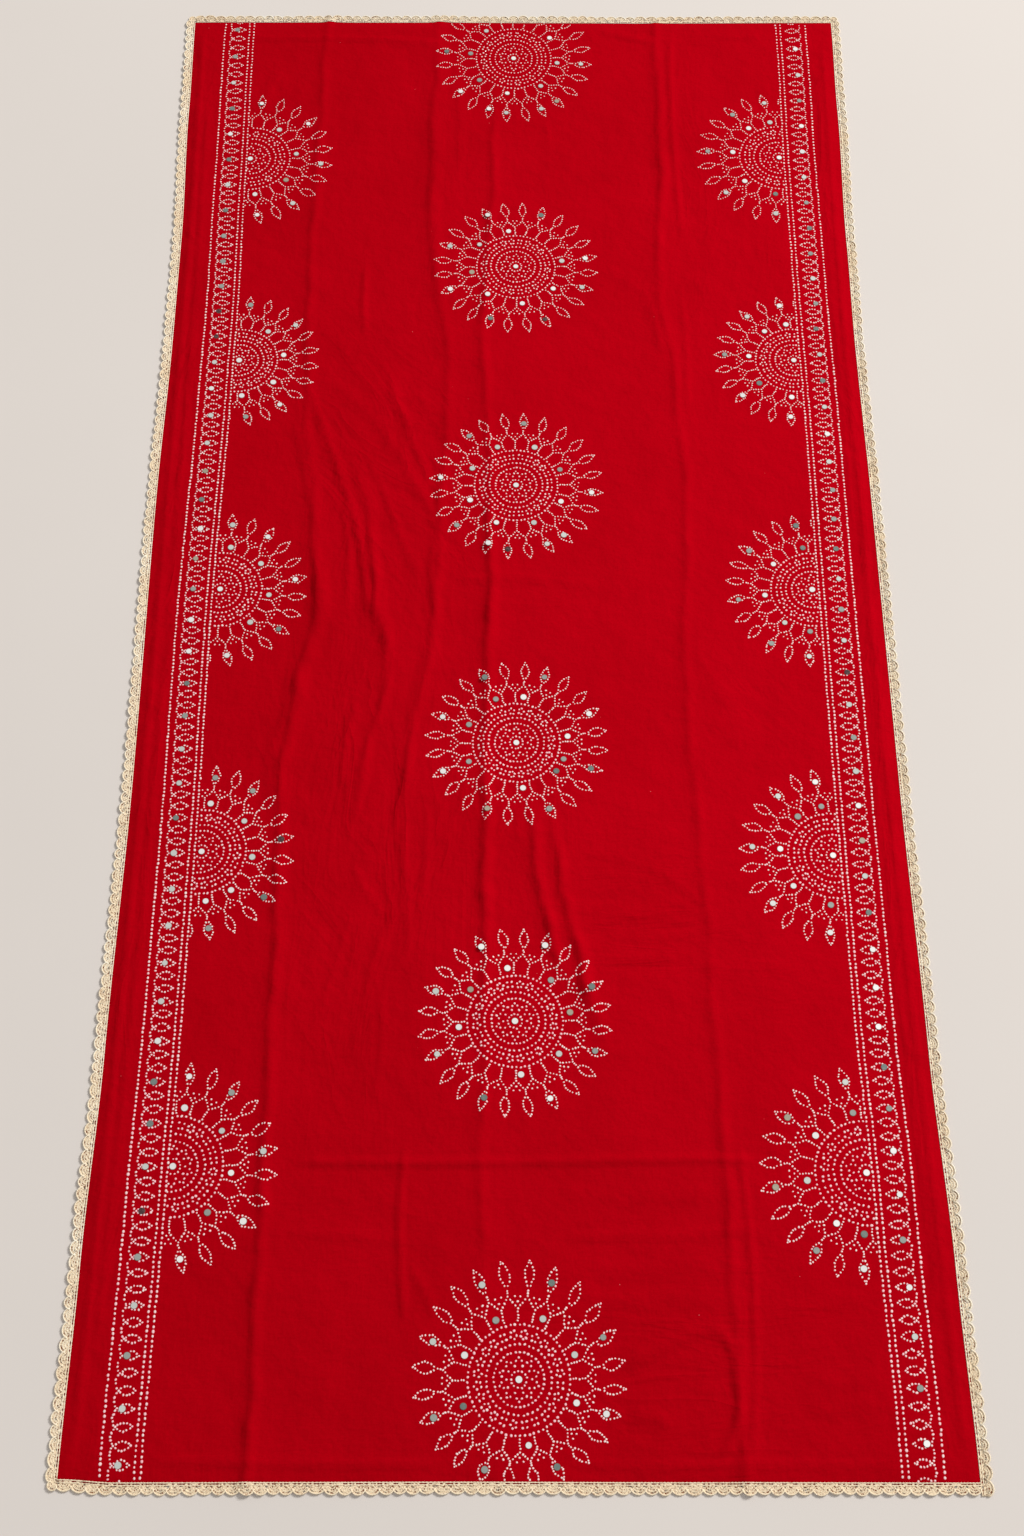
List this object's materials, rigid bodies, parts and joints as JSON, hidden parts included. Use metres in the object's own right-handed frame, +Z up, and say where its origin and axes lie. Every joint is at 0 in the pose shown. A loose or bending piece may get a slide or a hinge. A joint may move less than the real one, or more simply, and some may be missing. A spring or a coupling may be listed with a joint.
{
  "type": "bandhani cloth",
  "caption": "Long red tie-dyed cloth with dotted medallions and leaf borders, foil mirrors and a scalloped lace edging, lying flat.",
  "frame": {"origin": "middle of the underside's outline, on the surface the cloth lies on", "axes": "+X across the cloth, +Y along it, +Z up from the surface it lies on"},
  "size_m": [1.0356, 2.193, 0.0051],
  "materials": {
    "red_cotton": "thin matt cotton, dyed deep red, with small undyed dots",
    "ecru_lace": "crochet lace of ecru cotton thread",
    "foil_mirror": "small round foil mirrors with a thin rim"
  },
  "bodies": {
    "root": {"cloth": "red_cotton", "lace_left": "ecru_lace", "lace_right": "ecru_lace", "lace_top": "ecru_lace", "lace_bottom": "ecru_lace", "mirror_mid_1": "foil_mirror", "mirror_mid_2": "foil_mirror", "mirror_mid_3": "foil_mirror", "mirror_mid_4": "foil_mirror", "mirror_mid_5": "foil_mirror", "mirror_mid_6": "foil_mirror", "mirror_left_1": "foil_mirror", "mirror_left_2": "foil_mirror", "mirror_left_3": "foil_mirror", "mirror_left_4": "foil_mirror", "mirror_left_5": "foil_mirror", "mirror_right_1": "foil_mirror", "mirror_right_2": "foil_mirror", "mirror_right_3": "foil_mirror", "mirror_right_4": "foil_mirror", "mirror_right_5": "foil_mirror"}
  },
  "joints": []
}
